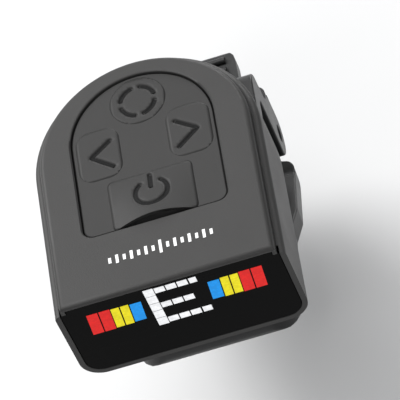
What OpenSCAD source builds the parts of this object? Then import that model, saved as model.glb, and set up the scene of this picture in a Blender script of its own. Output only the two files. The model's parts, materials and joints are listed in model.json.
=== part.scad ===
// Clip-on tuner for a stringed instrument: a display pod that swivels on a sprung clip.
// Origin: the swivel axis, on the contact face of the upper rubber pad. +Z is up, and the
// display faces -Y. All sizes are in millimetres. The jaw is drawn closed.

/* [Pod housing] */
// Width of the pod
pod_w = 25.4; // [25:0.1:27]
// Distance from the swivel axis to the front of the display window
pod_front = 18.7; // [18.5:0.1:21]
// Height of the pod
pod_h = 12.5; // [12.4:0.1:13]
// Height of the pod's underside over the pad's contact face
pod_lift = 8.5; // [8.4:0.1:10]
// Thickness of the housing walls
wall = 1.3; // [1.2:0.1:1.4]
// Radius along the lower edge of the pod
belly_r = 2.6; // [2.2:0.1:2.8]
// Height of the shoulder that runs round the top cover
shoulder_drop = 1.2; // [1.1:0.1:1.3]

/* [Keypad] */
// Half the width of the keypad opening
pad_half_w = 8.1; // [8:0.1:8.3]
// Depth of the keypad's surface below the top face
pad_sink = 0.3; // [0.2:0.05:0.4]
// Gap round each key
key_gap = 0.15; // [0.1:0.01:0.2]
// How far each key travels
key_travel = 0.3; // [0.2:0.05:0.35]
// Distance of the arrow keys from the centre line
arrow_x = 5.1; // [5:0.05:5.2]
// Radius of the round mode key
mode_r = 3.0; // [2.6:0.1:3.1]

/* [Swivel] */
// Radius of the swivel post
post_r = 3.9; // [3.5:0.1:4.2]
// Radial clearance of the post in the pod's floor
post_fit = 0.06; // [0.03:0.01:0.1]
// Radius of the turntable under the pod
turntable_r = 6.6; // [6:0.1:7.5]

/* [Clip] */
// Half the width of the clip's arms
arm_half_w = 9.4; // [9:0.1:9.6]
// Half the width across the hinge ears
ear_half_w = 10.2; // [10:0.1:10.4]
// Half the width of the finger grips
grip_half_w = 7.6; // [6:0.1:8]
// Thickness of the rubber pads
pad_t = 2.0; // [1.6:0.1:2]
// Distance of the hinge pin behind the swivel axis
pin_y = 20.5; // [20.4:0.1:21]
// Depth of the hinge pin below the upper pad's face
pin_drop = 8.0; // [7.8:0.1:8.2]
// Radius of the hinge pin
pin_r = 1.0; // [0.8:0.05:1]
// Gap between the pads at which they are parallel
parallel_gap = 12; // [11.5:0.1:12.5]

/* [Hidden] */
$fn = 64;
eps = 0.1;

// Pod levels, from the bottom up
half_w = pod_w / 2;
pod_z0 = pod_lift;
pod_z1 = pod_lift + pod_h;
floor_t = 1.2;
floor_z = pod_z0 + floor_t;
rim_z = pod_z1 - shoulder_drop;
cover_inset = 0.85;
cover_edge_r = 0.6;
brow_r = 0.5;
rim_edge_r = 0.55;
lip_t = 0.9;
lip_drop = 1.1;
fit_gap = 0.1;
rib_x = 7;
rib_half_t = 0.4;
rib_y = [-11.5, 3.5];

// Display stack behind the front face
frame_t = 0.6;
window_t = 0.95;
window_z0 = pod_z0 + frame_t;
window_back = pod_front - window_t;
window_z1 = pod_z1 - 0.65;
window_top_half_w = half_w - cover_inset - 0.5;
window_fit = 0.05;
window_seam = 0.02;
window_roof = 0.03;
panel_half_w = 10.8;
panel_z = [11.9, 19.5];
panel_y = [-17.6, -16.2];
panel_fit = 0.15;
holder_y = [-16.1, -15.2];
holder_z = [10.0, 19.6];
holder_shelf = 0.4;
holder_seam = 0.02;
ribbon_half_w = 3;
ribbon_t = 0.2;
ribbon_z = 12.1;
ribbon_y = -14.1;
ribbon_slot_y = [-17, -15];
ribbon_slot_margin = [0.4, 0.5];

// Printed row of ticks
scale_y = -14.3;
scale_ticks = 15;
scale_pitch = 0.8;
tick_w = 0.32;
tick_long = 1.7;
tick_even = 1.1;
tick_odd = 0.7;
ink_t = 0.04;

// Keypad
pad_front_y = 8.2 - pod_front;
pad_arch_y = 1.8;
pad_corner_r = 1.2;
rim_bevel = 0.15;
key_z = pod_z1 - pad_sink;
mat_web_z = 19.75;
mat_base_z = 19.2;
mat_flange = 0.9;
key_flange = 0.3;
key_flange_z = [18.85, 19.15];
arrow_size = [4.6, 6.6];
arrow_corner_r = 1.5;
arrow_y = 0.4;
mode_y = 6.3;
power_half_w = 4.6;
power_y = [-10.35, -3.9];
power_corner_r = 0.7;
power_sag = 0.5;
power_arc_r = (power_half_w * power_half_w + power_sag * power_sag) / (2 * power_sag);
power_raise = 0.9;
hood_r = (power_half_w * power_half_w + power_raise * power_raise) / (2 * power_raise);
hood_tilt = atan(power_raise / (power_y[1] - power_y[0]));
hood_t = 0.5;
hood_hollow = 2.4;
hood_hollow_z = 19.9;
switch_size = 3.4;
switch_h = 1.4;
plunger_r = 0.9;
plunger_gap = 0.05;
SWITCHES = [[0, power_y[0] + 3.7], [-arrow_x, arrow_y], [arrow_x, arrow_y], [0, mode_y]];

// Electronics
board_z = [15.6, 16.4];
board_half_w = 11.2;
board_front = 14.9;
battery_x = 7.9;
battery_y = [-13.2, 3.9];
battery_z = [11.7, 15.0];
battery_corner_r = 0.8;
tape_half_w = 6;
tape_y = [-11, 2.5];
wire_r = 0.35;
battery_lead_x = [5.3, 6.3];
battery_lead_z = 13.4;
battery_lead_reach = 1;
sensor_y = -10.8;
sensor_r = 4;
sensor_brass_t = 0.25;
sensor_ceramic_t = 0.25;
sensor_rim = 1.2;
sensor_lead_start = [3.4, -12.0];
sensor_lead_x = 4.2;
sensor_lead_y = [-14.6, -14.0];
chip_corner = [-2, -3];
chip_size = [4, 4, 0.9];
small_part_size = [1.6, 0.9, 0.8];
small_part_x = 8;
small_part_y = -10;
small_part_pitch = 2;
small_parts = 4;
usb_size = [8.94, 7.35, 3.26];
usb_y = 11.6;
usb_z = board_z[0] - usb_size[2] / 2 - 0.02;
usb_wall = 0.3;
usb_fit = 0.2;
usb_cut_y = 5;
usb_back_wall = 1;
tongue_half_w = 3.35;
tongue_half_t = 0.35;
tongue_root = 0.5;
tongue_inset = 0.8;

// Screws that hold the housing together, put in from below
SCREWS = [[9.4, -13.0], [-9.4, -13.0], [9.6, 2.2], [-9.6, 2.2]];
screw_r = 0.75;
screw_head_r = 1.35;
screw_head_z = [9.0, 9.9];
screw_top = 18.5;
screw_slot = [1.6, 0.35, 0.9];
shaft_fit = 0.1;
board_hole_fit = 0.2;
head_fit = 0.2;
thread_fit = 0.02;
thread_run = 0.2;
boss_r = 1.3;
boss_base_r = 2.1;
boss_base_z = 11.0;

// Swivel stack
turntable_z = pod_z0 - 0.3;
post_top = floor_z + 0.3;
washer_r = 5.2;
washer_t = 0.4;
swivel_screw_r = 0.9;
swivel_head_r = 1.9;
swivel_head_t = 0.7;
swivel_slot = [2.4, 0.45, 0.8];
swivel_bore_fit = 0.02;
swivel_bore_run = 0.2;
washer_inset = 0.4;
washer_bore_fit = 0.1;
washer_seam = 0.02;
wave_inset = 0.1;
wave_seam = 0.03;
retaining_fit = 0.05;

// Clip
arm_z = [pad_t, pad_t + 2.8];
swivel_screw_z0 = arm_z[1] - 0.4;
tip_y = -10.4;
wall_y = [18, 20.6];
grip_z = [-4.4, -2.2];
grip_end = 30;
barrel_r = 2.6;
barrel_fit = 0.05;
pin_z = -pin_drop;
outer_ear_x = [7.4, ear_half_w];
inner_ear_x = [4.4, 7.1];
pad_y = [-9, 9];
pad_half = 8.4;
pad_plan_r = 2;
jaw_reach = pin_y - pad_y[0];
jaw_r = sqrt(jaw_reach * jaw_reach + pow(parallel_gap - pin_drop, 2));
tip_gap = 0.15;
groove_r = 0.3;
groove_end = 7.5;
groove_pitch = 3;
ridge_r = 0.45;
ridge_y = 24;
ridge_pitch = 1.5;
ridge_inset = 1.2;
ridges = 4;
ear_root = 0.6;
inner_ear_root = 0.4;
pin_inset = 0.2;
arm_root = 1;
closed_angle = asin((pin_drop - tip_gap) / jaw_r) + asin((parallel_gap - pin_drop) / jaw_r);
seat_z = -parallel_gap - pad_t;
lower_t = 2.4;

// Spring
spring_wire_r = 0.35;
spring_r = 1.8;
spring_turns = 5;
spring_pitch = 0.85;
spring_steps = 20;
spring_leg = 6.5;
spring_leg_up = 12.5;
spring_leg_down = -36;

DARK = [0.30, 0.30, 0.31];
BLACK = [0.05, 0.05, 0.06];
RUBBER = [0.13, 0.13, 0.14];
STEEL = [0.75, 0.76, 0.78];
GREEN = [0.05, 0.30, 0.16];
GOLD = [0.85, 0.66, 0.25];

// ---------- helpers ----------

function unit(v) = v / norm(v);

// A corner of an outline [x, y, r], rounded by an arc between its neighbours
function corner_arc(before, at, after, steps = 6) =
    let (
        p = [at[0], at[1]],
        a = unit([before[0], before[1]] - p),
        b = unit([after[0], after[1]] - p),
        half = acos(max(-1, min(1, a * b))) / 2,
        reach = at[2] / tan(half),
        centre = p + unit(a + b) * at[2] / sin(half),
        from = p + a * reach - centre,
        to = p + b * reach - centre,
        start = atan2(from[1], from[0]),
        turn = atan2(to[1], to[0]) - start,
        sweep = turn > 180 ? turn - 360 : turn < -180 ? turn + 360 : turn
    )
    at[2] == 0 ? [p] : [
        for (i = [0:steps])
            centre + at[2] * [cos(start + sweep * i / steps), sin(start + sweep * i / steps)]
    ];

// An outline whose corners [x, y, r] are rounded
function rounded(corners) =
    let (n = len(corners))
    [for (i = [0:n - 1]) each corner_arc(corners[(i + n - 1) % n], corners[i], corners[(i + 1) % n])];

// A side view [y, z] extruded across the part from x0 to x1
module across(x0, x1) {
    translate([x0, 0, 0])
        rotate([90, 0, 90])
            linear_extrude(x1 - x0)
                children();
}

// A pair of extrusions, one on each side of the centre line
module both_sides(x0, x1) {
    across(x0, x1) children();
    across(-x1, -x0) children();
}

// A box between two corners
module span(low, high) {
    translate(low)
        cube(high - low);
}

// A cylinder between two heights
module disc(r, z0, z1) {
    translate([0, 0, z0])
        cylinder(r = r, h = z1 - z0);
}

// Half of the pod's cross-section, with rounded lower and upper outer corners
module edge_profile(w, z0, z1, r0, r1) {
    union() {
        translate([0, z0 + r0])
            square([w, z1 - z0 - r0 - r1]);
        translate([0, z0])
            square([w - max(r0, r1), z1 - z0]);
        if (r0 > r1)
            translate([0, z0 + r0])
                square([w - r1, z1 - z0 - r0]);
        if (r1 > r0)
            translate([0, z0])
                square([w - r0, z1 - z0 - r1]);
        if (r0 > 0)
            translate([w - r0, z0 + r0])
                circle(r0);
        if (r1 > 0)
            translate([w - r1, z1 - r1])
                circle(r1);
    }
}

// A solid with the pod's plan: flat at the front, round at the back
module pod_form(w, front, z0, z1, r0 = 0, r1 = 0) {
    rotate_extrude(angle = 180)
        edge_profile(w, z0, z1, r0, r1);
    rotate([90, 0, 0])
        linear_extrude(front) {
            edge_profile(w, z0, z1, r0, r1);
            mirror([1, 0])
                edge_profile(w, z0, z1, r0, r1);
        }
}

// The keypad's plan, grown by a margin
module keypad_plan(grow = 0) {
    w = pad_half_w + grow;
    front = pad_front_y - grow;
    r = pad_corner_r;
    translate([0, pad_arch_y])
        circle(w);
    translate([-w, front + r])
        square([2 * w, pad_arch_y - front - r]);
    translate([-w + r, front])
        square([2 * (w - r), pad_arch_y - front]);
    for (side = [-1, 1])
        translate([side * (w - r), front + r])
            circle(r);
}

// The keypad's plan as a solid from z0 up, whose edge leans out (1) or in (-1) at 45 degrees
module keypad_bevel(grow, z0, h, lean) {
    w = pad_half_w + grow;
    front = pad_front_y - grow;
    r = pad_corner_r;
    out = lean * h;
    z1 = z0 + h;
    translate([0, pad_arch_y, z0])
        cylinder(r1 = w, r2 = w + out, h = h);
    translate([0, pad_arch_y, 0])
        rotate([90, 0, 0])
            linear_extrude(pad_arch_y - front - r)
                polygon([[-w, z0], [w, z0], [w + out, z1], [-w - out, z1]]);
    across(-w + r, w - r)
        polygon([[front, z0], [pad_arch_y, z0], [pad_arch_y, z1], [front - out, z1]]);
    for (side = [-1, 1])
        translate([side * (w - r), front + r, z0])
            cylinder(r1 = r, r2 = r + out, h = h);
}

// A rectangle with round corners, between two corners
module rounded_rect(low, high, r) {
    translate([low[0] + r, low[1]])
        square([high[0] - low[0] - 2 * r, high[1] - low[1]]);
    translate([low[0], low[1] + r])
        square([high[0] - low[0], high[1] - low[1] - 2 * r]);
    for (x = [low[0] + r, high[0] - r])
        for (y = [low[1] + r, high[1] - r])
            translate([x, y])
                circle(r);
}

module arrow_plan(side, grow = 0) {
    g = [grow, grow];
    centre = [side * arrow_x, arrow_y];
    rounded_rect(centre - arrow_size / 2 - g, centre + arrow_size / 2 + g, arrow_corner_r + grow);
}

module power_plan(grow = 0) {
    g = [grow, grow];
    rounded_rect([-power_half_w, power_y[0]] - g, [power_half_w, power_y[1]] + g, power_corner_r);
}

module mode_plan(grow = 0) {
    translate([0, mode_y])
        circle(mode_r + grow);
}

// A key cap with a flange under the mat that keeps it in
module key_body(top) {
    translate([0, 0, key_flange_z[1] - eps])
        linear_extrude(top - key_flange_z[1] + eps)
            children(0);
    translate([0, 0, key_flange_z[0]])
        linear_extrude(key_flange_z[1] - key_flange_z[0])
            children(1);
}

// A round wire swept along points, as a closed skin
function frame_at(points, i) =
    let (
        last = len(points) - 1,
        ahead = points[min(i + 1, last)],
        behind = points[max(i - 1, 0)],
        t = unit(ahead - behind),
        side = abs(t[0]) > 0.9 ? [0, 1, 0] : [1, 0, 0],
        u = unit(cross(t, side))
    )
    [u, cross(t, u)];

module wire(points, r, sides = 8) {
    n = len(points);
    rings = [
        for (i = [0:n - 1])
            let (f = frame_at(points, i))
            for (k = [0:sides - 1])
                points[i] + r * (cos(360 * k / sides) * f[0] + sin(360 * k / sides) * f[1])
    ];
    skin = [
        for (i = [0:n - 2])
            for (k = [0:sides - 1])
                let (next = (k + 1) % sides)
                [i * sides + k, i * sides + next, (i + 1) * sides + next, (i + 1) * sides + k]
    ];
    start_cap = [[for (k = [0:sides - 1]) sides - 1 - k]];
    end_cap = [[for (k = [0:sides - 1]) (n - 1) * sides + k]];
    polyhedron(rings, concat(skin, start_cap, end_cap), convexity = 8);
}

// A smooth curve through three control points
function bend(a, b, c, steps = 8) = [
    for (i = [0:steps])
        let (t = i / steps)
        (1 - t) * (1 - t) * a + 2 * t * (1 - t) * b + t * t * c
];

// ---------- pod housing ----------

module screw_holes(r, z0, z1) {
    for (place = SCREWS)
        translate([place[0], place[1], 0])
            disc(r, z0, z1);
}

module usb_plan(grow) {
    r = usb_size[2] / 2 + grow;
    reach = usb_size[0] / 2 - usb_size[2] / 2;
    square([2 * reach, 2 * r], center = true);
    for (side = [-1, 1])
        translate([side * reach, 0])
            circle(r);
}

// A prism of the charging socket's outline, from y0 back to y1
module usb_prism(grow, y0, y1) {
    translate([0, y1, usb_z])
        rotate([90, 0, 0])
            linear_extrude(y1 - y0)
                usb_plan(grow);
}

// The outline of the display's opening in the front of the housing, up to a height
module front_opening(fit, top) {
    for (side = [0, 1])
        mirror([side, 0])
            edge_profile(half_w - frame_t - fit, window_z0 + fit, top, belly_r - frame_t, 0);
}

module bottom_cover() {
    color(DARK)
        difference() {
            union() {
                difference() {
                    pod_form(half_w, pod_front, pod_z0, rim_z, belly_r, rim_edge_r);
                    pod_form(half_w - wall, window_back, floor_z, rim_z + 1, belly_r - wall);
                    translate([0, -window_back + eps, 0])
                        rotate([90, 0, 0])
                            linear_extrude(2 * window_t)
                                front_opening(0, rim_z + 1);
                }
                intersection() {
                    pod_form(half_w - eps, pod_front - 3, pod_z0 + eps, rim_z - 1, belly_r);
                    union() {
                        screw_holes(boss_base_r, pod_z0 + eps, boss_base_z);
                        screw_holes(boss_r, pod_z0 + eps, board_z[0]);
                    }
                }
                for (side = [-1, 1])
                    span([side * rib_x - rib_half_t, rib_y[0], floor_z - eps],
                         [side * rib_x + rib_half_t, rib_y[1], battery_z[0]]);
            }
            disc(post_r + post_fit, pod_z0 - 1, floor_z + 1);
            screw_holes(screw_r + shaft_fit, pod_z0, board_z[0] + 1);
            screw_holes(screw_head_r + head_fit, pod_z0 - 1, screw_head_z[1]);
            usb_prism(usb_fit, usb_cut_y, half_w + 1);
        }
}

module top_cover() {
    color(DARK)
        difference() {
            union() {
                pod_form(half_w - cover_inset, pod_front, rim_z, pod_z1, 0, cover_edge_r);
                difference() {
                    pod_form(half_w - wall - fit_gap, window_back - fit_gap, rim_z - lip_drop, rim_z + eps);
                    pod_form(half_w - wall - fit_gap - lip_t, window_back - fit_gap - lip_t,
                             rim_z - 2 * lip_drop, rim_z);
                    span([-panel_half_w - panel_fit, -pod_front, rim_z - 2 * lip_drop],
                         [panel_half_w + panel_fit, holder_y[1] + fit_gap, rim_z]);
                }
                screw_holes(boss_r, board_z[1], rim_z + eps);
            }
            translate([0, 0, rim_z - eps])
                linear_extrude(pod_h)
                    keypad_plan();
            keypad_bevel(0, pod_z1 - rim_bevel, 2 * rim_bevel, 1);
            span([-window_top_half_w - window_fit, -pod_front - 1, rim_z - eps],
                 [window_top_half_w + window_fit, -window_back + window_fit, window_z1 + window_roof]);
            difference() {
                span([-half_w, -pod_front - 1, pod_z1 - brow_r], [half_w, brow_r - pod_front, pod_z1 + 1]);
                translate([-half_w - 1, brow_r - pod_front, pod_z1 - brow_r])
                    rotate([0, 90, 0])
                        cylinder(r = brow_r, h = pod_w + 2);
            }
            screw_holes(screw_r + thread_fit, board_z[1] - 1, screw_top + thread_run);
        }
}

module display_window() {
    color(BLACK)
        translate([0, -window_back, 0])
            rotate([90, 0, 0])
                linear_extrude(window_t) {
                    front_opening(window_fit, rim_z - window_seam);
                    translate([-window_top_half_w, pod_z0 + belly_r])
                        square([2 * window_top_half_w, window_z1 - pod_z0 - belly_r]);
                }
}

module display_panel() {
    color("dimgray")
        span([-panel_half_w, panel_y[0], panel_z[0]], [panel_half_w, panel_y[1], panel_z[1]]);
}

module display_holder() {
    shelf_z = panel_z[0] - holder_seam;
    slot_half_w = ribbon_half_w + ribbon_slot_margin[0];
    color("gainsboro")
        difference() {
            union() {
                span([-panel_half_w, holder_y[0], holder_z[0]], [panel_half_w, holder_y[1], holder_z[1]]);
                span([-panel_half_w, panel_y[0], shelf_z - holder_shelf],
                     [panel_half_w, holder_y[1], shelf_z]);
            }
            span([-slot_half_w, ribbon_slot_y[0], ribbon_z - ribbon_slot_margin[1]],
                 [slot_half_w, ribbon_slot_y[1], ribbon_z + ribbon_slot_margin[1]]);
        }
}

module display_ribbon() {
    color("goldenrod")
        across(-ribbon_half_w, ribbon_half_w) {
            translate([panel_y[1], ribbon_z - ribbon_t / 2])
                square([ribbon_y - panel_y[1], ribbon_t]);
            translate([ribbon_y - ribbon_t, ribbon_z - ribbon_t / 2])
                square([ribbon_t, board_z[0] - ribbon_z + ribbon_t / 2]);
        }
}

// A neutral row of ticks, tall in the middle, printed ahead of the keypad
module printed_scale() {
    color("white")
        for (i = [0:scale_ticks - 1]) {
            place = i - (scale_ticks - 1) / 2;
            tall = place == 0 ? tick_long : place % 2 == 0 ? tick_even : tick_odd;
            translate([place * scale_pitch, scale_y, pod_z1 + ink_t / 2])
                cube([tick_w, tall, ink_t], center = true);
        }
}

// ---------- keypad ----------

module keypad_mat() {
    color(DARK)
        difference() {
            union() {
                translate([0, 0, mat_web_z - eps])
                    linear_extrude(key_z - rim_bevel - mat_web_z + eps)
                        keypad_plan(-fit_gap);
                keypad_bevel(-fit_gap, key_z - rim_bevel, rim_bevel, -1);
                translate([0, 0, mat_base_z])
                    linear_extrude(mat_web_z - mat_base_z)
                        intersection() {
                            keypad_plan(mat_flange);
                            circle(half_w - wall - lip_t - 2 * fit_gap);
                        }
            }
            translate([0, 0, mat_base_z - 1])
                linear_extrude(key_z) {
                    arrow_plan(-1, key_gap);
                    arrow_plan(1, key_gap);
                    mode_plan(key_gap);
                    power_plan(key_gap);
                }
            screw_holes(boss_r + fit_gap, mat_base_z - 1, key_z + 1);
        }
}

// Everything under the power key's arched top, which rises towards the display
module under_hood(depth = 0) {
    translate([0, power_y[1], key_z - hood_r - depth])
        rotate([90 - hood_tilt, 0, 0])
            cylinder(r = hood_r, h = 2 * (power_y[1] - power_y[0]), $fn = 128);
}

// The hood, and the finger slot below its front edge
module power_hood() {
    intersection() {
        translate([0, 0, mat_web_z])
            linear_extrude(pod_h)
                power_plan();
        under_hood();
    }
}

module power_slot() {
    side = power_half_w - hood_t;
    intersection() {
        span([-side, power_y[0] - 1, hood_hollow_z],
             [side, power_y[0] + hood_hollow, pod_z1 + power_raise]);
        under_hood(hood_t);
    }
}

module power_key() {
    color(DARK)
        difference() {
            union() {
                key_body(key_z) {
                    power_plan();
                    power_plan(key_flange);
                }
                power_hood();
            }
            translate([0, power_y[0] + power_sag - power_arc_r, key_flange_z[1]])
                cylinder(r = power_arc_r, h = pod_h, $fn = 128);
            power_slot();
        }
}

module left_key() {
    color(DARK)
        key_body(key_z) {
            arrow_plan(-1);
            arrow_plan(-1, key_flange);
        }
}

module right_key() {
    color(DARK)
        key_body(key_z) {
            arrow_plan(1);
            arrow_plan(1, key_flange);
        }
}

module mode_key() {
    color(DARK)
        key_body(key_z) {
            mode_plan();
            mode_plan(key_flange);
        }
}

// ---------- electronics ----------

module circuit_board() {
    color(GREEN)
        difference() {
            translate([0, 0, board_z[0]])
                linear_extrude(board_z[1] - board_z[0])
                    union() {
                        circle(board_half_w);
                        translate([-board_half_w, -board_front])
                            square([2 * board_half_w, board_front]);
                    }
            screw_holes(screw_r + board_hole_fit, board_z[0] - 1, board_z[1] + 1);
        }
}

module tact_switches() {
    half = switch_size / 2;
    color(STEEL)
        for (place = SWITCHES)
            translate([place[0], place[1], 0]) {
                span([-half, -half, board_z[1]], [half, half, board_z[1] + switch_h]);
                disc(plunger_r, board_z[1], key_flange_z[0] - key_travel - plunger_gap);
            }
}

module processor_chip() {
    color(BLACK)
        translate([chip_corner[0], chip_corner[1], board_z[1]])
            cube(chip_size);
}

// Small parts beside the processor
module board_parts() {
    color("tan")
        for (side = [-1, 1])
            for (i = [0:small_parts - 1])
                translate([side * small_part_x, small_part_y + small_part_pitch * i, board_z[1]])
                    translate([-small_part_size[0] / 2, 0, 0])
                        cube(small_part_size);
}

module usb_socket() {
    usb_back = usb_y - usb_size[1];
    color(STEEL)
        union() {
            difference() {
                usb_prism(0, usb_back, usb_y);
                usb_prism(-usb_wall, usb_back + usb_back_wall, usb_y + 1);
            }
            span([-tongue_half_w, usb_back + tongue_root, usb_z - tongue_half_t],
                 [tongue_half_w, usb_y - tongue_inset, usb_z + tongue_half_t]);
        }
}

module battery() {
    color("silver")
        translate([0, 0, battery_z[0]])
            linear_extrude(battery_z[1] - battery_z[0])
                rounded_rect([-battery_x, battery_y[0]], [battery_x, battery_y[1]], battery_corner_r);
}

module battery_pad() {
    color("lightyellow")
        span([-tape_half_w, tape_y[0], battery_z[1]], [tape_half_w, tape_y[1], board_z[0]]);
}

module battery_leads() {
    y0 = battery_y[1];
    y1 = y0 + battery_lead_reach;
    color("red")
        for (x = battery_lead_x)
            wire(bend([-x, y0, battery_lead_z], [-x, y1, battery_lead_z], [-x, y1, board_z[0]]), wire_r);
}

module vibration_sensor() {
    color(GOLD)
        translate([0, sensor_y, 0]) {
            disc(sensor_r, floor_z, floor_z + sensor_brass_t);
            disc(sensor_r - sensor_rim, floor_z, floor_z + sensor_brass_t + sensor_ceramic_t);
        }
}

module sensor_leads() {
    z0 = floor_z + sensor_brass_t + wire_r;
    x1 = sensor_lead_x;
    color("white")
        for (side = [-1, 1])
            wire(bend([side * sensor_lead_start[0], sensor_lead_start[1], z0],
                      [side * x1, sensor_lead_y[0], z0],
                      [side * x1, sensor_lead_y[1], board_z[0]]), wire_r);
}

module housing_screws() {
    color(STEEL)
        difference() {
            union() {
                screw_holes(screw_r, screw_head_z[0], screw_top);
                screw_holes(screw_head_r, screw_head_z[0], screw_head_z[1]);
            }
            for (place = SCREWS)
                for (turn = [0, 90])
                    translate([place[0], place[1], screw_head_z[0]])
                        rotate([0, 0, turn])
                            cube(screw_slot, center = true);
        }
}

// ---------- swivel ----------

module ring(outer, inner, z0, z1) {
    difference() {
        disc(outer, z0, z1);
        disc(inner, z0 - 1, z1 + 1);
    }
}

module friction_washer() {
    color(RUBBER)
        ring(turntable_r - washer_inset, post_r + washer_bore_fit, turntable_z, pod_z0 - washer_seam);
}

module wave_washer() {
    color(STEEL)
        ring(washer_r - wave_inset, post_r + washer_bore_fit, floor_z + wave_seam, post_top - wave_seam);
}

module retaining_washer() {
    color(STEEL)
        ring(washer_r, swivel_screw_r + retaining_fit, post_top, post_top + washer_t);
}

module swivel_screw() {
    head_z = post_top + washer_t;
    color(STEEL)
        difference() {
            union() {
                disc(swivel_screw_r, swivel_screw_z0, head_z);
                disc(swivel_head_r, head_z, head_z + swivel_head_t);
            }
            for (turn = [0, 90])
                translate([0, 0, head_z + swivel_head_t])
                    rotate([0, 0, turn])
                        cube(swivel_slot, center = true);
        }
}

// ---------- clip ----------

// The plate over the instrument and the wall behind its edge
UPPER_SIDE = [
    [tip_y, arm_z[0], 0.3],
    [wall_y[0], arm_z[0], 1.2],
    [wall_y[0], grip_z[0], 0.4],
    [grip_end, grip_z[0], 0.9],
    [grip_end, grip_z[1], 0.9],
    [wall_y[1], grip_z[1] - 0.4, 1.4],
    [wall_y[1], arm_z[1], 2.4],
    [tip_y, arm_z[1], 2.0]
];

// The lower plate and its finger grip, with the pads parallel
LOWER_SIDE = [
    [tip_y, seat_z, 0.3],
    [21.5, seat_z, 3],
    [grip_end + 0.4, seat_z + 4.2, 0.9],
    [grip_end + 0.9, seat_z + 2.2, 0.9],
    [22, seat_z - lower_t, 4],
    [tip_y, seat_z - lower_t, 1.8]
];

// Plan of the arms: round nose, full width, then the narrower grip
module arm_plan(w, grip_w) {
    polygon(rounded([
        [-w, tip_y, 4.5],
        [w, tip_y, 4.5],
        [w, 9, 2],
        [ear_half_w, 13, 2],
        [ear_half_w, wall_y[1] + 2.6, 1],
        [grip_w, wall_y[1] + 3.4, 1.2],
        [grip_w, grip_end + 1.5, 3.5],
        [-grip_w, grip_end + 1.5, 3.5],
        [-grip_w, wall_y[1] + 3.4, 1.2],
        [-ear_half_w, wall_y[1] + 2.6, 1],
        [-ear_half_w, 13, 2],
        [-w, 9, 2]
    ]));
}

module tall_plan(w, grip_w) {
    translate([0, 0, -30])
        linear_extrude(60)
            arm_plan(w, grip_w);
}

// Finger ridges across a grip
module grip_ridges(y0, count, z) {
    for (i = [0:count - 1])
        translate([-grip_half_w + ridge_inset, y0 + ridge_pitch * i, z])
            rotate([0, 90, 0])
                cylinder(r = ridge_r, h = 2 * (grip_half_w - ridge_inset), $fn = 24);
}

module pin_bore(r) {
    translate([-ear_half_w - 1, pin_y, pin_z])
        rotate([0, 90, 0])
            cylinder(r = r, h = 2 * ear_half_w + 2);
}

module upper_arm() {
    color(BLACK)
        difference() {
            union() {
                intersection() {
                    across(-ear_half_w, ear_half_w) polygon(rounded(UPPER_SIDE));
                    tall_plan(arm_half_w, grip_half_w);
                }
                both_sides(outer_ear_x[0], outer_ear_x[1])
                    union() {
                        translate([pin_y, pin_z])
                            circle(barrel_r);
                        polygon([
                            [pin_y - barrel_r, pin_z],
                            [pin_y + barrel_r, pin_z],
                            [pin_y + barrel_r, grip_z[0] + ear_root],
                            [wall_y[0], grip_z[0] + ear_root]
                        ]);
                    }
                grip_ridges(ridge_y, ridges, grip_z[1]);
                disc(turntable_r, arm_z[0] + arm_root, turntable_z);
                disc(post_r, arm_z[0] + arm_root, post_top);
            }
            pin_bore(pin_r);
            disc(swivel_screw_r + swivel_bore_fit, swivel_screw_z0 - swivel_bore_run, post_top + 1);
        }
}

// Puts a piece of the lower jaw, drawn with the pads parallel, in its closed place
module closed_jaw() {
    translate([0, pin_y, pin_z])
        rotate([-closed_angle, 0, 0])
            translate([0, -pin_y, -pin_z])
                children();
}

module lower_arm() {
    color(BLACK)
        difference() {
            closed_jaw()
                union() {
                    intersection() {
                        across(-ear_half_w, ear_half_w) polygon(rounded(LOWER_SIDE));
                        tall_plan(arm_half_w, grip_half_w);
                    }
                    both_sides(inner_ear_x[0], inner_ear_x[1])
                        union() {
                            translate([pin_y, pin_z])
                                circle(barrel_r);
                            polygon([
                                [pin_y - barrel_r, pin_z],
                                [pin_y + barrel_r, pin_z],
                                [pin_y + barrel_r, seat_z - inner_ear_root],
                                [pin_y - barrel_r, seat_z - inner_ear_root]
                            ]);
                        }
                }
            pin_bore(pin_r + barrel_fit);
        }
}

// A rubber pad with shallow cross grooves in its contact face
module grip_pad(seat, face) {
    low = min(seat, face);
    high = max(seat, face);
    difference() {
        translate([0, 0, low])
            linear_extrude(high - low)
                rounded_rect([-pad_half, pad_y[0]], [pad_half, pad_y[1]], pad_plan_r);
        for (y = [-groove_end:groove_pitch:groove_end])
            translate([-pad_half - 1, y, face])
                rotate([0, 90, 0])
                    cylinder(r = groove_r, h = 2 * pad_half + 2, $fn = 24);
    }
}

module upper_pad() {
    color(RUBBER)
        grip_pad(pad_t, 0);
}

module lower_pad() {
    color(RUBBER)
        closed_jaw()
            grip_pad(seat_z, -parallel_gap);
}

module hinge_pin() {
    color(STEEL)
        translate([-ear_half_w + pin_inset, pin_y, pin_z])
            rotate([0, 90, 0])
                cylinder(r = pin_r, h = 2 * (ear_half_w - pin_inset));
}

// A torsion spring round the pin: one leg under each finger grip
module torsion_spring() {
    steps = spring_turns * spring_steps;
    start = spring_leg_up + 90;
    turn = 360 * spring_turns - spring_leg_up + spring_leg_down + 180;
    coil = [
        for (i = [0:steps])
            let (a = start + turn * i / steps)
            [
                spring_pitch * spring_turns * (i / steps - 0.5),
                pin_y + spring_r * cos(a),
                pin_z + spring_r * sin(a)
            ]
    ];
    first_leg = [0, cos(spring_leg_up), sin(spring_leg_up)];
    last_leg = [0, cos(spring_leg_down), sin(spring_leg_down)];
    color(STEEL)
        wire(concat([coil[0] + spring_leg * first_leg], coil, [coil[steps] + spring_leg * last_leg]),
             spring_wire_r);
}

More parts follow.
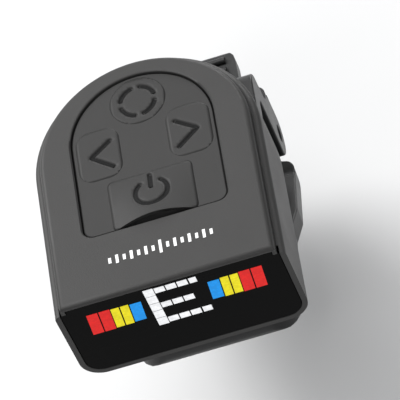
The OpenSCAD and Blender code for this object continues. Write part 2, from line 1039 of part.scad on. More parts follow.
top_cover();
bottom_cover();
display_window();
display_panel();
display_holder();
display_ribbon();
keypad_mat();
power_key();
left_key();
right_key();
mode_key();
circuit_board();
tact_switches();
processor_chip();
board_parts();
usb_socket();
battery();
battery_pad();
battery_leads();
vibration_sensor();
sensor_leads();
housing_screws();
printed_scale();
upper_arm();
upper_pad();
lower_arm();
lower_pad();
hinge_pin();
torsion_spring();
friction_washer();
wave_washer();
retaining_washer();
swivel_screw();
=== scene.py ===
"""A clip-on tuner on a pale studio floor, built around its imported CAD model."""
import json
import math

import bmesh
import bpy
from mathutils import Matrix, Vector
from mathutils.geometry import delaunay_2d_cdt


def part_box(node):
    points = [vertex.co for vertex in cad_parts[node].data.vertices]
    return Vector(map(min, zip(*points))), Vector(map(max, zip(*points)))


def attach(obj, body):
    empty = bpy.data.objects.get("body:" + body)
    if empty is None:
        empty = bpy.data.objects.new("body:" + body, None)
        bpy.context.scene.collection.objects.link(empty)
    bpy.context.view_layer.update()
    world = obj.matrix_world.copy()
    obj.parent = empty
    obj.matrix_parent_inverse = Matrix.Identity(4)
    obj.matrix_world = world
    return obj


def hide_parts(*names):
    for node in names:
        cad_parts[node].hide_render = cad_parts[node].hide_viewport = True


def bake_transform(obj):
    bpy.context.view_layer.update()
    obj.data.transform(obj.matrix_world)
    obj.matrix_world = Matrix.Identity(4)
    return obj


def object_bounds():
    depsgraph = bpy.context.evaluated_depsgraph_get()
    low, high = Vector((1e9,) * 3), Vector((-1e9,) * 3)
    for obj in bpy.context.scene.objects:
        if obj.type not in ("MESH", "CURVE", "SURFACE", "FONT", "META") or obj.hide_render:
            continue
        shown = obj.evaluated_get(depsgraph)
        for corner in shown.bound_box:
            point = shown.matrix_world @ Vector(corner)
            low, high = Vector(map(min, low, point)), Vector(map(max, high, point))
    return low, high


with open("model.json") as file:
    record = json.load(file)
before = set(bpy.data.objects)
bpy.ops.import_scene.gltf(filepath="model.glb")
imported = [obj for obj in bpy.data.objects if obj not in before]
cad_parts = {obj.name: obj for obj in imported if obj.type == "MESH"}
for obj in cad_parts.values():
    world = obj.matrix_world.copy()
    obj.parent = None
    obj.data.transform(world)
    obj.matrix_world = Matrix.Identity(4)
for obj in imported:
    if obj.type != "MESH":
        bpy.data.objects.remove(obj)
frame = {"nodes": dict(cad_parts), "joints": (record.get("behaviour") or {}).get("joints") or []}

MM = 0.001
CAD_BOUNDS = [list(corner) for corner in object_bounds()]


# ---------- places from the frame, in millimetres ----------

def box(node):
    """A node's lowest and highest corners."""
    low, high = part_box(node)
    return low / MM, high / MM


def middle(node):
    low, high = box(node)
    return (low + high) / 2


# The window's top edge, the keypad's surface, the plane of the pod's front, and the jaw's pin.
WINDOW_TOP_Z = box("display_window")[1].z
KEY_Z = box("keypad_mat")[1].z
FRONT_Y = box("top_cover")[0].y
PIN = Vector(next(j for j in frame["joints"] if j["name"] == "jaw_hinge")["pos_m"]) / MM

# Edges sharper than this stay sharp in the shading, and are the ones that get rounded over.
SHARP_ANGLE = math.radians(35)

# Keys: how far a cap grows towards the mat above its flange, and the line that moulds its symbol.
KEY_GROW = 0.125
KEY_FLANGE_Z = 19.2
LINE_W = 0.45
LINE_HALF = LINE_W / 2
LINE_DEPTH = 0.2
LINE_WALL = 0.13

# The mesh of a key's top: a coarse grid, and finer rows at these distances from a moulded line.
GRID_STEP = 0.35
ROW_STEP = 0.12
ROW_DISTANCES = (0.0, 0.12, LINE_HALF - 0.05, LINE_HALF + 0.015, LINE_HALF + 0.08)
GRID_CLEARANCE = LINE_HALF + 0.15

# The display: the window's face, the lit cells' faces and backs, and the meter's row.
WINDOW_FACE_Y = FRONT_Y + 0.05
CELL_FACE_Y = FRONT_Y + 0.03
CELL_BACK_Y = FRONT_Y + 0.2
METER_DEPTH = 3.4
METER_SLANT = 0.12

# The spring: its turns, the length of its coil and the radius of its wire.
SPRING_TURNS = 5
SPRING_LENGTH = 4.25
WIRE_R = 0.35


# ---------- materials ----------

class Nodes:
    """Short calls for building one material's node tree."""

    def __init__(self, name):
        self.material = bpy.data.materials.new(name)
        self.material.use_nodes = True
        self.tree = self.material.node_tree
        self.shader = self.tree.nodes["Principled BSDF"]
        self.place = self.tree.nodes.new("ShaderNodeTexCoord").outputs["Object"]

    def add(self, kind, **inputs):
        node = self.tree.nodes.new(kind)
        for key, value in inputs.items():
            self.wire(value, node.inputs[key.replace("_", " ")])
        return node

    def wire(self, value, socket):
        if isinstance(value, bpy.types.NodeSocket):
            self.tree.links.new(value, socket)
        else:
            socket.default_value = value

    def set(self, **inputs):
        for key, value in inputs.items():
            self.wire(value, self.shader.inputs[key.replace("_", " ")])

    def stretched(self, scale):
        node = self.add("ShaderNodeMapping", Vector=self.place)
        node.inputs["Scale"].default_value = scale
        return node.outputs["Vector"]

    def noise(self, size_mm, detail=3.0, roughness=0.5, vector=None):
        node = self.add("ShaderNodeTexNoise", Vector=vector or self.place, Scale=1 / (size_mm * MM),
                        Detail=detail, Roughness=roughness)
        return node.outputs["Fac"]

    def cells(self, size_mm, feature="F1", vector=None):
        node = self.add("ShaderNodeTexVoronoi", Vector=vector or self.place, Scale=1 / (size_mm * MM))
        node.feature = feature
        return node.outputs["Distance"]

    def ramp(self, value, low, high, to_low=0.0, to_high=1.0):
        node = self.add("ShaderNodeMapRange")
        for index, item in enumerate((value, low, high, to_low, to_high)):
            self.wire(item, node.inputs[index])
        return node.outputs["Result"]

    def mix(self, factor, first, second):
        node = self.tree.nodes.new("ShaderNodeMix")
        node.data_type = "RGBA"
        self.wire(factor, node.inputs[0])
        self.wire(first, node.inputs[6])
        self.wire(second, node.inputs[7])
        return node.outputs[2]

    def maths(self, operation, first, second):
        node = self.tree.nodes.new("ShaderNodeMath")
        node.operation = operation
        self.wire(first, node.inputs[0])
        self.wire(second, node.inputs[1])
        return node.outputs[0]

    def bump(self, height, depth_mm, strength=1.0, under=None):
        node = self.add("ShaderNodeBump", Height=height, Strength=strength, Distance=depth_mm * MM)
        if under is not None:
            self.wire(under, node.inputs["Normal"])
        return node.outputs["Normal"]


def grey(level, tint=0.0):
    return (level * (1 - tint), level, level * (1 + tint), 1)


def moulded_plastic(name, level, roughness, grain_mm, depth_mm, tint=0.01, specular=0.3):
    """A moulded plastic: fine spark-eroded grain, faint flow marks, and patches polished by handling."""
    m = Nodes(name)
    grain = m.noise(grain_mm, detail=4, roughness=0.65)
    pits = m.cells(grain_mm * 1.6)
    clouds = m.noise(9, detail=4, roughness=0.6)
    handled = m.noise(4.5, detail=5, roughness=0.6)
    body = m.mix(m.ramp(clouds, 0.3, 0.7), grey(level * 0.94, tint), grey(level * 1.06, tint))
    speckled = m.mix(m.ramp(grain, 0.35, 0.7, 0.0, 0.35), body, grey(level * 1.35, tint))
    m.set(Base_Color=speckled, Specular_IOR_Level=specular)
    m.set(Roughness=m.ramp(handled, 0.3, 0.72, roughness - 0.035, roughness + 0.035))
    fine = m.bump(grain, depth_mm)
    m.set(Normal=m.bump(pits, depth_mm * 0.8, 0.6, fine))
    return m.material


def polished_black(name):
    """Polished black acrylic with faint wipe marks and a few hairline scratches."""
    m = Nodes(name)
    wipes = m.noise(5, detail=5, roughness=0.65, vector=m.stretched((1.0, 1.0, 3.5)))
    dust = m.ramp(m.noise(0.22, detail=2), 0.72, 0.8)
    scratch = m.ramp(m.noise(0.6, detail=1, vector=m.stretched((0.05, 1.0, 3.0))), 0.66, 0.7)
    m.set(Base_Color=m.mix(m.maths("MULTIPLY", dust, 0.2), grey(0.0012), grey(0.04)))
    m.set(Roughness=m.maths("ADD", m.ramp(wipes, 0.35, 0.7, 0.05, 0.16), m.maths("MULTIPLY", scratch, 0.08)))
    m.set(Normal=m.bump(scratch, 0.004, 0.5), Specular_IOR_Level=0.04)
    return m.material


def lit(name, colour):
    """A lit part of the display: a soft glow with a fine dot structure."""
    m = Nodes(name)
    dots = m.cells(0.3, vector=m.stretched((1, 0.001, 1)))
    glow = m.ramp(dots, 0.25, 0.75, 1.0, 0.86)
    shade = m.noise(0.8, detail=2)
    m.set(Base_Color=m.mix(0.9, (*colour, 1), grey(0.01)), Specular_IOR_Level=0.12)
    uneven = m.ramp(shade, 0.3, 0.7, 0.92, 1.05)
    m.set(Emission_Color=(*colour, 1), Emission_Strength=m.maths("MULTIPLY", glow, uneven))
    m.set(Roughness=m.ramp(shade, 0.3, 0.7, 0.12, 0.2))
    return m.material


def white_ink(name):
    """Pad-printed ink: thin, slightly uneven, a little worn."""
    m = Nodes(name)
    film = m.noise(0.16, detail=4, roughness=0.7)
    worn = m.ramp(m.noise(0.5, detail=5, roughness=0.75), 0.62, 0.75)
    m.set(Base_Color=m.mix(m.maths("MULTIPLY", worn, 0.55), grey(0.78), grey(0.4)))
    m.set(Roughness=m.ramp(film, 0.3, 0.7, 0.38, 0.55), Normal=m.bump(film, 0.01, 0.7))
    return m.material


def engraved_ink(name):
    """The dark paint at the bottom of an engraved symbol."""
    m = Nodes(name)
    film = m.noise(0.12, detail=3)
    m.set(Base_Color=m.mix(m.ramp(film, 0.3, 0.7), grey(0.006), grey(0.018)))
    m.set(Roughness=m.ramp(film, 0.3, 0.7, 0.7, 0.85), Specular_IOR_Level=0.08)
    m.set(Normal=m.bump(film, 0.015, 0.7))
    return m.material


def soft_rubber(name, level):
    """Soft moulded rubber with a dusty bloom and a pebbled skin."""
    m = Nodes(name)
    skin = m.noise(0.12, detail=4, roughness=0.6)
    pebble = m.cells(0.3, feature="SMOOTH_F1")
    bloom = m.ramp(m.noise(2.2, detail=5, roughness=0.65), 0.45, 0.75)
    m.set(Base_Color=m.mix(m.maths("MULTIPLY", bloom, 0.45), grey(level), grey(level * 2.4)))
    m.set(Roughness=m.ramp(bloom, 0, 1, 0.68, 0.86), Specular_IOR_Level=0.35)
    m.set(Normal=m.bump(pebble, 0.02, 0.6, m.bump(skin, 0.02, 0.7)))
    return m.material


def plated_metal(name, colour, roughness, streaks, along=(1, 1, 1)):
    """Plated or drawn metal: fine draw marks, and small dull spots."""
    m = Nodes(name)
    marks = m.noise(0.08, detail=4, roughness=0.6, vector=m.stretched(along))
    spots = m.ramp(m.noise(0.7, detail=5, roughness=0.7), 0.5, 0.7)
    tone = m.mix(m.maths("MULTIPLY", spots, 0.5), (*colour, 1), (*[c * 0.6 for c in colour], 1))
    m.set(Base_Color=tone, Metallic=1.0)
    m.set(Roughness=m.maths("ADD", m.ramp(marks, 0.3, 0.7, roughness, roughness + streaks),
                            m.maths("MULTIPLY", spots, 0.12)))
    m.set(Normal=m.bump(marks, 0.006, 0.6))
    return m.material


def plain_inner(name, colour, roughness, grain_mm, gloss=0.0):
    """Small inner pieces: their colour with fine variation and a slight relief."""
    m = Nodes(name)
    grain = m.noise(grain_mm, detail=4, roughness=0.6)
    clouds = m.noise(2.5, detail=3)
    darker, lighter = [c * 0.85 for c in colour], [min(1, c * 1.12) for c in colour]
    tone = m.mix(m.ramp(clouds, 0.3, 0.7), (*darker, 1), (*lighter, 1))
    m.set(Base_Color=tone, Roughness=m.ramp(grain, 0.3, 0.7, roughness - 0.06, roughness + 0.06))
    m.set(Normal=m.bump(grain, 0.01, 0.6), Coat_Weight=gloss)
    return m.material


def circuit_board_finish(name):
    """Green solder mask over copper tracks, which show as a faint raised maze."""
    m = Nodes(name)
    tracks = m.tree.nodes.new("ShaderNodeTexBrick")
    m.wire(m.place, tracks.inputs["Vector"])
    tracks.inputs["Scale"].default_value = 420
    tracks.inputs["Mortar Size"].default_value = 0.035
    line = tracks.outputs["Fac"]
    m.set(Base_Color=m.mix(line, (0.012, 0.09, 0.035, 1), (0.03, 0.2, 0.07, 1)))
    m.set(Roughness=m.ramp(m.noise(1.5), 0.3, 0.7, 0.28, 0.4), Coat_Weight=0.4)
    m.set(Normal=m.bump(line, 0.03, 0.7))
    return m.material


HOUSING = moulded_plastic("housing_plastic", 0.032, 0.48, 0.11, 0.012, tint=-0.02, specular=0.2)
KEYPAD = moulded_plastic("keypad_plastic", 0.024, 0.54, 0.09, 0.010, tint=-0.02, specular=0.2)
CLIP = moulded_plastic("clip_plastic", 0.012, 0.40, 0.16, 0.018)
WINDOW = polished_black("window_acrylic")
INK = white_ink("white_ink")
ENGRAVING = engraved_ink("engraved_ink")
RUBBER = soft_rubber("pad_rubber", 0.022)
STEEL = plated_metal("plated_steel", (0.62, 0.62, 0.60), 0.22, 0.14, (0.15, 1, 1))
BLACK_STEEL = plated_metal("black_steel", (0.06, 0.06, 0.065), 0.34, 0.15)
GILT = plated_metal("gilt", (0.85, 0.6, 0.22), 0.25, 0.1)
SPRING = plated_metal("spring_steel", (0.42, 0.42, 0.43), 0.26, 0.16, (1, 0.3, 0.3))
RED = lit("lit_red", (0.72, 0.010, 0.008))
YELLOW = lit("lit_yellow", (0.82, 0.72, 0.006))
BLUE = lit("lit_blue", (0.003, 0.29, 0.82))
WHITE = lit("lit_white", (0.90, 0.91, 0.93))

CAD_FINISH = {
    "top_cover": HOUSING, "bottom_cover": HOUSING, "keypad_mat": KEYPAD,
    "left_key": KEYPAD, "right_key": KEYPAD, "mode_key": KEYPAD, "power_key": KEYPAD,
    "display_window": WINDOW, "printed_scale": INK,
    "upper_arm": CLIP, "lower_arm": CLIP, "upper_pad": RUBBER, "lower_pad": RUBBER,
    "friction_washer": RUBBER, "hinge_pin": STEEL, "torsion_spring": SPRING,
    "wave_washer": SPRING, "retaining_washer": STEEL, "swivel_screw": BLACK_STEEL,
    "housing_screws": BLACK_STEEL, "usb_socket": STEEL, "tact_switches": STEEL,
    "display_panel": plain_inner("display_glass", (0.02, 0.02, 0.024), 0.25, 0.3, 0.5),
    "display_holder": plain_inner("inner_plastic", (0.6, 0.6, 0.57), 0.5, 0.15),
    "display_ribbon": plain_inner("flex_film", (0.5, 0.24, 0.04), 0.3, 0.2, 0.4),
    "circuit_board": circuit_board_finish("solder_mask"),
    "processor_chip": plain_inner("chip_package", (0.02, 0.02, 0.02), 0.55, 0.08),
    "board_parts": plain_inner("small_ceramics", (0.45, 0.33, 0.2), 0.45, 0.1),
    "battery": plated_metal("battery_foil", (0.62, 0.62, 0.64), 0.3, 0.12),
    "battery_pad": plain_inner("adhesive_foam", (0.6, 0.58, 0.5), 0.85, 0.12),
    "battery_leads": plain_inner("red_insulation", (0.5, 0.03, 0.03), 0.45, 0.1),
    "sensor_leads": plain_inner("white_insulation", (0.7, 0.7, 0.68), 0.45, 0.1),
    "vibration_sensor": plated_metal("sensor_brass", (0.72, 0.5, 0.2), 0.3, 0.14),
}


def paint(obj, material):
    obj.data.materials.clear()
    obj.data.materials.append(material)
    return obj


for node_name, finish in CAD_FINISH.items():
    paint(frame["nodes"][node_name], finish)


# ---------- shapes, in millimetres ----------

def linked(name, data):
    """A new object in the scene."""
    obj = bpy.data.objects.new(name, data)
    bpy.context.scene.collection.objects.link(obj)
    return obj


def add_piece(name, mesh, body, slot, material):
    """A new visible piece that moves with a CAD body."""
    obj = paint(linked(name, mesh), material)
    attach(obj, body)
    return obj


def finish_mesh(name, bm):
    """Turns a bmesh in millimetres into a smooth-shaded mesh in metres."""
    bmesh.ops.recalc_face_normals(bm, faces=bm.faces)
    bmesh.ops.transform(bm, matrix=Matrix.Scale(MM, 4), verts=bm.verts)
    mesh = bpy.data.meshes.new(name)
    bm.to_mesh(mesh)
    bm.free()
    mesh.shade_smooth()
    mesh.set_sharp_from_angle(angle=SHARP_ANGLE)
    return mesh


def cad_solid(node):
    """A CAD node's surface in millimetres, with its seams welded and its flat faces joined."""
    weld, flat = 0.001, math.radians(0.5)
    bm = bmesh.new()
    bm.from_mesh(frame["nodes"][node].data)
    bmesh.ops.transform(bm, matrix=Matrix.Scale(1 / MM, 4), verts=bm.verts)
    bmesh.ops.remove_doubles(bm, verts=bm.verts, dist=weld)
    bmesh.ops.dissolve_limit(bm, angle_limit=flat, verts=bm.verts, edges=bm.edges)
    return bm


def round_edges(bm, radius, wanted=lambda at: True):
    """Rounds over the sharp edges, or those of them whose middle is wanted."""
    sharp = [
        e for e in bm.edges
        if len(e.link_faces) == 2 and e.calc_face_angle() > SHARP_ANGLE
        and wanted((e.verts[0].co + e.verts[1].co) / 2)
    ]
    bmesh.ops.bevel(bm, geom=sharp, offset=radius, segments=3, profile=0.5,
                    affect="EDGES", clamp_overlap=False)
    return bm


def stand_in(node, bm, body, slot, material):
    """A piece made from a CAD node that stands for it."""
    obj = add_piece(f"{node}_finished", finish_mesh(node, bm), body, slot, material)
    shading = obj.modifiers.new("even_shading", "WEIGHTED_NORMAL")
    shading.keep_sharp = True
    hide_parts(node)


def bar(bm, low, high):
    """A plain box between two corners."""
    made = bmesh.ops.create_cube(bm, size=1)["verts"]
    for vert in made:
        vert.co = Vector(high[i] if vert.co[i] > 0 else low[i] for i in range(3))


def stroke(bm, points, width, low, high):
    """A closed strip with square ends along points (x, y), between heights low(x, y) and high(x, y)."""
    least_turn = 0.3
    sides = ([], [])
    for i, (x, y) in enumerate(points):
        before, after = points[max(i - 1, 0)], points[min(i + 1, len(points) - 1)]
        along = Vector((after[0] - before[0], after[1] - before[1])).normalized()
        if 0 < i < len(points) - 1:
            first = Vector((x - before[0], y - before[1])).normalized()
            reach = width / 2 / max(least_turn, along.dot(first))
        else:
            reach = width / 2
        sides[0].append((x - along.y * reach, y + along.x * reach))
        sides[1].append((x + along.y * reach, y - along.x * reach))
    left_low, right_low, left_high, right_high = (
        [bm.verts.new((x, y, height(x, y))) for x, y in side] for height in (low, high) for side in sides
    )
    for i in range(len(points) - 1):
        bm.faces.new((left_low[i], left_low[i + 1], right_low[i + 1], right_low[i]))
        bm.faces.new((left_high[i], right_high[i], right_high[i + 1], left_high[i + 1]))
        bm.faces.new((left_low[i], left_high[i], left_high[i + 1], left_low[i + 1]))
        bm.faces.new((right_low[i], right_low[i + 1], right_high[i + 1], right_high[i]))
    for i in (0, -1):
        bm.faces.new((left_low[i], right_low[i], right_high[i], left_high[i]))


def arc(centre, radius, start, end, steps=12):
    """Points along an arc between two angles in degrees."""
    angles = [math.radians(start + (end - start) * i / steps) for i in range(steps + 1)]
    return [(centre[0] + radius * math.cos(a), centre[1] + radius * math.sin(a)) for a in angles]


def divided(points, step=0.25):
    """The same line with points at most a step apart."""
    out = [points[0]]
    for (ax, ay), (bx, by) in zip(points, points[1:]):
        count = max(1, math.ceil(math.dist((ax, ay), (bx, by)) / step))
        out += [(ax + (bx - ax) * i / count, ay + (by - ay) * i / count) for i in range(1, count + 1)]
    return out


def ring(centre, radius, across, other, sides):
    """Points round a circle that lies along two unit vectors."""
    turns = [2 * math.pi * k / sides for k in range(sides)]
    return [centre + radius * (math.cos(t) * across + math.sin(t) * other) for t in turns]


def skinned(rings):
    """A closed solid through rings of points."""
    bm = bmesh.new()
    loops = [[bm.verts.new(point) for point in points] for points in rings]
    sides = len(loops[0])
    for loop, above in zip(loops, loops[1:]):
        for k in range(sides):
            n = (k + 1) % sides
            bm.faces.new((loop[k], loop[n], above[n], above[k]))
    bm.faces.new(reversed(loops[0]))
    bm.faces.new(loops[-1])
    return bm


def tube(points, radius):
    """A round wire along points; its domed ends have rings at (reach, width) shares of its radius."""
    sides, dome = 14, ((0.97, 0.26), (0.87, 0.5), (0.5, 0.87))
    first, last = (points[0] - points[1]).normalized(), (points[-1] - points[-2]).normalized()
    stations = [(points[0] + first * radius * out, radius * share) for out, share in dome]
    stations += [(point, radius) for point in points]
    stations += [(points[-1] + last * radius * out, radius * share) for out, share in reversed(dome)]
    rings, across = [], first.orthogonal()
    for i, (at, size) in enumerate(stations):
        after, before = stations[min(i + 1, len(stations) - 1)][0], stations[max(i - 1, 0)][0]
        along = (after - before).normalized()
        across = (across - along * across.dot(along)).normalized()
        rings.append(ring(at, size, across, along.cross(across), sides))
    return skinned(rings)


# ---------- top cover and keypad ----------

def top_surfaces():
    """The cover and the mat as welded copies, which shade more evenly than the CAD meshes."""
    for node, slot, finish in (("top_cover", "housing", HOUSING), ("keypad_mat", "keypad", KEYPAD)):
        stand_in(node, cad_solid(node), "pod", slot, finish)


def smoothstep(value):
    """A soft step from 0 to 1 while the value runs from 0 to 1."""
    t = min(1.0, max(0.0, value))
    return t * t * (3 - 2 * t)


def to_stroke(x, y, points):
    """Distance from a point to a line through points."""
    least = math.inf
    for (ax, ay), (bx, by) in zip(points, points[1:]):
        dx, dy = bx - ax, by - ay
        t = min(1.0, max(0.0, ((x - ax) * dx + (y - ay) * dy) / (dx * dx + dy * dy)))
        least = min(least, math.hypot(x - ax - t * dx, y - ay - t * dy))
    return least


def beside_stroke(points, away, step):
    """Points at a distance from a line through points, on both sides of it and round its ends."""
    out = []
    for i, (x, y) in enumerate(points):
        (ax, ay), (bx, by) = points[max(i - 1, 0)], points[min(i + 1, len(points) - 1)]
        heading = math.atan2(by - ay, bx - ax)
        turns = [math.pi / 2, -math.pi / 2]
        if i in (0, len(points) - 1):
            back = math.pi if i == 0 else 0
            fan = max(2, math.ceil(math.pi * away / step))
            turns = [back - math.pi / 2 + math.pi * k / fan for k in range(fan + 1)]
        out += [(x + away * math.cos(heading + t), y + away * math.sin(heading + t)) for t in turns]
    return out


def cap_points(low, high, strokes):
    """Points inside a key's top: a coarse grid, and rows that follow the moulded lines."""
    slack = 0.01
    nx, ny = (math.ceil((high[axis] - low[axis]) / GRID_STEP) for axis in (0, 1))
    grid = [(low[0] + (high[0] - low[0]) * i / nx, low[1] + (high[1] - low[1]) * j / ny)
            for i in range(1, nx) for j in range(1, ny)]
    kept = [p for p in grid if min(to_stroke(*p, line) for line in strokes) > GRID_CLEARANCE]
    for away in ROW_DISTANCES:
        for line in strokes:
            fine = divided(line, ROW_STEP)
            row = beside_stroke(fine, away, ROW_STEP) if away else fine
            kept += [p for p in row if min(to_stroke(*p, other) for other in strokes) > away - slack]
    return kept


def grown_key(node):
    """A key's solid, grown above its flange to leave only a hairline round it."""
    bm = cad_solid(node)
    shaft = [v for v in bm.verts if v.co.z > KEY_FLANGE_Z]
    for axis in (0, 1):
        places = [v.co[axis] for v in shaft]
        centre, half = (max(places) + min(places)) / 2, (max(places) - min(places)) / 2
        for vert in shaft:
            vert.co[axis] = centre + (vert.co[axis] - centre) * (half + KEY_GROW) / half
    return bm


def retopped(bm, level, strokes):
    """Replaces a key's top faces with a fine skin at the heights that level(x, y) gives."""
    upward, near_top, closest, weld = 0.3, KEY_Z - 0.1, 0.004, 0.002
    upper = [f for f in bm.faces if f.normal.z > upward and f.calc_center_median().z > near_top]
    rim = [e for e in bm.edges if {f in upper for f in e.link_faces} == {True, False}]
    bmesh.ops.delete(bm, geom=upper, context="FACES")
    rim_verts = list(dict.fromkeys(v for e in rim for v in e.verts))
    index = {vert: i for i, vert in enumerate(rim_verts)}
    corners = [Vector(v.co.xy) for v in rim_verts]
    edges = [tuple(index[v] for v in e.verts) for e in rim]
    xs, ys = [c.x for c in corners], [c.y for c in corners]
    inner = [Vector(p) for p in cap_points((min(xs), min(ys)), (max(xs), max(ys)), strokes)]
    coords, _, faces, *_ = delaunay_2d_cdt(corners + inner, edges, [], 1, closest)
    made = [bm.verts.new((p.x, p.y, level(*p))) for p in coords]
    for vert in rim_verts:
        vert.co.z = level(*vert.co.xy)
    for face in faces:
        bm.faces.new([made[i] for i in face])
    bmesh.ops.remove_doubles(bm, verts=bm.verts, dist=weld)


def key_cap(node, body, strokes, swell=lambda x, y: 0.0):
    """A key with its symbol moulded into its top and inked; swell(x, y) raises its top."""
    top_z = box(node)[1].z
    wall_foot = LINE_HALF - 0.05
    ink_low, ink_high = LINE_DEPTH + 0.03, LINE_DEPTH * 0.7

    def skin(x, y):
        return min(top_z, KEY_Z + swell(x, y))

    def level(x, y):
        away = min(to_stroke(x, y, line) for line in strokes)
        return skin(x, y) - LINE_DEPTH * (1 - smoothstep((away - wall_foot) / LINE_WALL))

    bm = grown_key(node)
    retopped(bm, level, strokes)
    cap = add_piece(f"{node}_finished", finish_mesh(node, bm), body, "keypad", KEYPAD)
    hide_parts(node)
    ink = bmesh.new()
    for line in strokes:
        stroke(ink, divided(line), LINE_W, lambda x, y: skin(x, y) - ink_low,
               lambda x, y: skin(x, y) - ink_high)
    add_piece(f"{node}_symbol", finish_mesh(f"{node}_symbol", ink), body, "keypad", ENGRAVING)


def hood(x, y):
    """How far the power key swells up from its back towards its front edge."""
    soft_share = 0.25
    low, high = box("power_key")
    across = min(1.0, abs(x) / (high.x + KEY_GROW))
    along = min(1.0, max(0.0, (high.y - y) / (high.y - low.y)))
    rise = soft_share * smoothstep(along) + (1 - soft_share) * along
    return (high.z - KEY_Z) * (1 - across * across) ** 1.5 * rise


def arrow_key(name, side):
    """A key with an open arrow head, which points to one side."""
    x, y = middle(f"{name}_key").xy
    tip, tail = x + side * 0.9, x - side * 1.4
    upper, level, lower = y + 1.6, y - 0.1, y - 2.0
    key_cap(f"{name}_key", f"{name}_button", [[(tail, upper), (tip, level), (tail, lower)]])


def mode_key():
    """A round key with a ring of four arcs."""
    x, y = middle("mode_key").xy
    circle_r, gap = 1.95, 15
    quarters = [arc((x, y), circle_r, start + gap, start + 90 - gap) for start in (0, 90, 180, 270)]
    key_cap("mode_key", "mode_button", quarters)


def power_key():
    """The hooded key, with an open ring and a bar in its gap."""
    x, y = middle("power_key").xy
    centre, circle_r, bar_low, bar_high = (x, y + 0.4), 1.8, y + 1.05, y + 2.8
    sign = [arc(centre, circle_r, 130, 410, 28), [(x, bar_low), (x, bar_high)]]
    key_cap("power_key", "power_button", sign, hood)


# ---------- display ----------

def cell(bm, x, depth, width, height, slant=0.0):
    """A lit cell: its middle across, its depth below the window's top edge, its size and its lean."""
    z = WINDOW_TOP_Z - depth
    signs = [(-1, -1), (1, -1), (1, 1), (-1, 1)]
    corners = [(x + width / 2 * sx + slant * sz, z + height / 2 * sz) for sx, sz in signs]
    near = [bm.verts.new((px, CELL_FACE_Y, pz)) for px, pz in corners]
    far = [bm.verts.new((px, CELL_BACK_Y, pz)) for px, pz in corners]
    bm.faces.new(near)
    bm.faces.new(reversed(far))
    for i in range(4):
        j = (i + 1) % 4
        bm.faces.new((near[j], near[i], far[i], far[j]))


def lit_cells(name, material, cells):
    """One piece made of all the cells of a colour."""
    bm = bmesh.new()
    for item in cells:
        cell(bm, *item)
    add_piece(name, finish_mesh(name, bm), "pod", "display", material)


def meter(name, material, xs, width, height):
    """Cells of one colour on both sides of the note."""
    cells = [(side * x, METER_DEPTH, width, height, METER_SLANT) for side in (-1, 1) for x in xs]
    lit_cells(name, material, cells)


def window():
    """The window, set back by a hair so that the lit cells can stand on it."""
    edge_r, front_zone_y = 0.08, WINDOW_FACE_Y + 0.05
    bm = cad_solid("display_window")
    for vert in bm.verts:
        vert.co.y = max(vert.co.y, WINDOW_FACE_Y)
    round_edges(bm, edge_r, lambda at: at.y < front_zone_y)
    stand_in("display_window", bm, "pod", "window", WINDOW)


def note_cells():
    """The letter E: a column of five cells, and three bars, of which the upper and lower run on."""
    column_x, column_depth, column_step, cell_w, cell_h = -2.35, 0.95, 1.28, 1.1, 1.2
    bar_xs, bar_depths, bar_h = (-1.15, 0.1, 1.35), (0.85, 3.45, 6.1), 0.85
    cells = [(column_x, column_depth + column_step * i, cell_w, cell_h) for i in range(5)]
    cells += [(x, depth, cell_w, bar_h) for depth in bar_depths for x in bar_xs]
    return cells + [(2.5, bar_depths[0], 0.8, bar_h), (2.6, bar_depths[2], 1.0, bar_h)]


def display():
    window()
    meter("meter_red", RED, xs=(9.05, 7.7), width=1.2, height=3.4)
    meter("meter_yellow", YELLOW, xs=(6.55, 5.5), width=0.9, height=3.2)
    meter("meter_blue", BLUE, xs=(4.3,), width=1.25, height=3.0)
    lit_cells("note_letter", WHITE, note_cells())


# ---------- clip ----------

def free_edge(at):
    """False among the finger ridges, and where the outer ears run into the arm."""
    grip_z, ridge_half, ridges_start, ridges_end = -2.2, 0.55, 23.2, 29.2
    ear_x, ears_start, ears_end, ears_low, ears_high = 7.0, 20.4, 24.8, grip_z - 3.6, grip_z + 1.2
    ridges = abs(at.z - grip_z) < ridge_half and ridges_start < at.y < ridges_end
    ear_root = abs(at.x) > ear_x and ears_start < at.y < ears_end and ears_low < at.z < ears_high
    return not (ridges or ear_root)


def clip():
    """The arms and pads, with rounded edges."""
    arm_edge, pad_edge = 0.2, 0.12
    for node, body in (("upper_arm", "clip"), ("lower_arm", "lower_jaw")):
        stand_in(node, round_edges(cad_solid(node), arm_edge, free_edge), body, "clip_plastic", CLIP)
    for node, body in (("upper_pad", "clip"), ("lower_pad", "lower_jaw")):
        stand_in(node, round_edges(cad_solid(node), pad_edge), body, "pad_rubber", RUBBER)


def hinge_pin():
    """The pin, with its two ends turned to a dome, in steps of (distance from the end, share of radius)."""
    dome, sides = ((0.0, 0.35), (0.06, 0.62), (0.18, 0.86), (0.38, 1.0)), 40
    across, other = Vector((0, 1, 0)), Vector((0, 0, 1))
    low, high = box("hinge_pin")
    radius, half = (high.z - low.z) / 2, (high.x - low.x) / 2
    profile = [(half - inwards, share) for inwards, share in dome]
    stations = profile + [(-x, share) for x, share in reversed(profile)]
    rings = [ring(Vector((x, PIN.y, PIN.z)), radius * share, across, other, sides) for x, share in stations]
    stand_in("hinge_pin", skinned(rings), "clip", "plated_steel", STEEL)


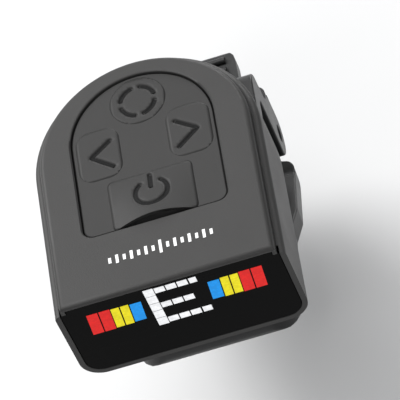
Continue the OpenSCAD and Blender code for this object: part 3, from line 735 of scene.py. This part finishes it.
def spring_line():
    """The middle line of the spring's wire: a leg on the arm, the coil, and a leg on the lower arm."""
    coil_r, leg, steps = 1.8, 6.2, 240
    arm_angle, lower_angle = 12.5, -36.0
    start, sweep = arm_angle + 90, 360 * SPRING_TURNS - arm_angle + lower_angle + 180
    points = []
    for i in range(steps + 1):
        a = math.radians(start + sweep * i / steps)
        x = SPRING_LENGTH * (i / steps - 0.5)
        points.append(Vector((x, PIN.y + coil_r * math.cos(a), PIN.z + coil_r * math.sin(a))))
    for end, angle in ((0, arm_angle), (-1, lower_angle)):
        a = math.radians(angle)
        away = Vector((0, math.cos(a), math.sin(a))) * leg
        run = [points[end] + away * share for share in (0.25, 0.5, 0.75, 1)]
        points = run[::-1] + points if end == 0 else points + run
    return points


def torsion_spring():
    """The CAD coil's wire with a finer mesh, in its rest shape; the real spring winds up as the jaw opens.
    """
    mesh = finish_mesh("torsion_spring", tube(spring_line(), WIRE_R))
    obj = paint(linked("torsion_spring_finished", mesh), SPRING)
    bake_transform(obj)
    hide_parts("torsion_spring")


# ---------- charging socket ----------

def usb_contacts():
    """Gilded contacts on both faces of the socket's tongue."""
    low, high = box("usb_socket")
    count, pitch, half_w = 12, 0.5, 0.12
    tongue_half, proud = 0.33, 0.03
    inner_end, outer_end = high.y - 4.2, high.y - 1.1
    bm = bmesh.new()
    for i in range(count):
        x = (i - (count - 1) / 2) * pitch
        for side in (-1, 1):
            z = (low.z + high.z) / 2 + side * (tongue_half + proud / 2)
            bar(bm, (x - half_w, inner_end, z - proud / 2), (x + half_w, outer_end, z + proud / 2))
    add_piece("usb_contacts", finish_mesh("usb_contacts", bm), "pod", "plated_steel", GILT)


# ---------- floor, light and camera ----------

def studio():
    """A pale floor just below the reach of the open jaw, and soft light round the tuner."""
    jaw_drop = 10.8 * MM
    bpy.ops.mesh.primitive_plane_add(size=3, location=(0, 0, CAD_BOUNDS[0][2] - jaw_drop))
    floor = bpy.context.object
    floor.name = "floor"
    m = Nodes("floor_paper")
    m.set(Base_Color=m.mix(m.noise(40, detail=2), grey(0.55), grey(0.58)), Roughness=0.75)
    paint(floor, m.material)

    scene = bpy.context.scene
    scene.view_settings.view_transform = "Standard"
    scene.world = bpy.data.worlds.new("soft_room")
    scene.world.use_nodes = True
    sky = scene.world.node_tree.nodes["Background"]
    sky.inputs["Color"].default_value = (0.95, 0.97, 1.0, 1)
    sky.inputs["Strength"].default_value = 0.34

    softbox("back_softbox", (-0.36, 0.30, 0.42), size=0.36, power=4.6)
    softbox("top_softbox", (-0.08, 0.10, 0.55), size=0.35, power=1.4)
    softbox("rim_softbox", (0.12, 0.54, 0.20), size=0.20, power=1.5)
    softbox("front_fill", (-0.12, -0.55, 0.42), size=0.4, power=1.8)


def softbox(name, place, size, power):
    """A square area light that faces the pod, in metres and watts."""
    pod = Vector((0, 0, 0.01))
    lamp = bpy.data.lights.new(name, "AREA")
    lamp.size = size
    lamp.energy = power
    obj = linked(name, lamp)
    obj.location = place
    obj.rotation_euler = (pod - Vector(place)).to_track_quat("-Z", "Y").to_euler()


def camera():
    """The viewpoint of someone looking down at a tuner clipped to the guitar in their lap."""
    eye = Vector((65.1, -282.1, 349.3)) * MM
    target = Vector((2.6, 1.0, 8.0)) * MM
    field, roll = math.radians(5.6), math.radians(-25.9)
    data = bpy.data.cameras.new("camera")
    data.lens_unit = "FOV"
    data.angle = field
    data.clip_start = 0.01
    cam = linked("camera", data)
    look = (target - eye).to_track_quat("-Z", "Y").to_matrix().to_4x4()
    cam.matrix_world = Matrix.Translation(eye) @ look @ Matrix.Rotation(roll, 4, "Z")
    bpy.context.scene.camera = cam


# ---------- everything, in order ----------

top_surfaces()
arrow_key("left", -1)
arrow_key("right", 1)
mode_key()
power_key()
display()
clip()
hinge_pin()
torsion_spring()
usb_contacts()
studio()
camera()

bpy.context.view_layer.update()
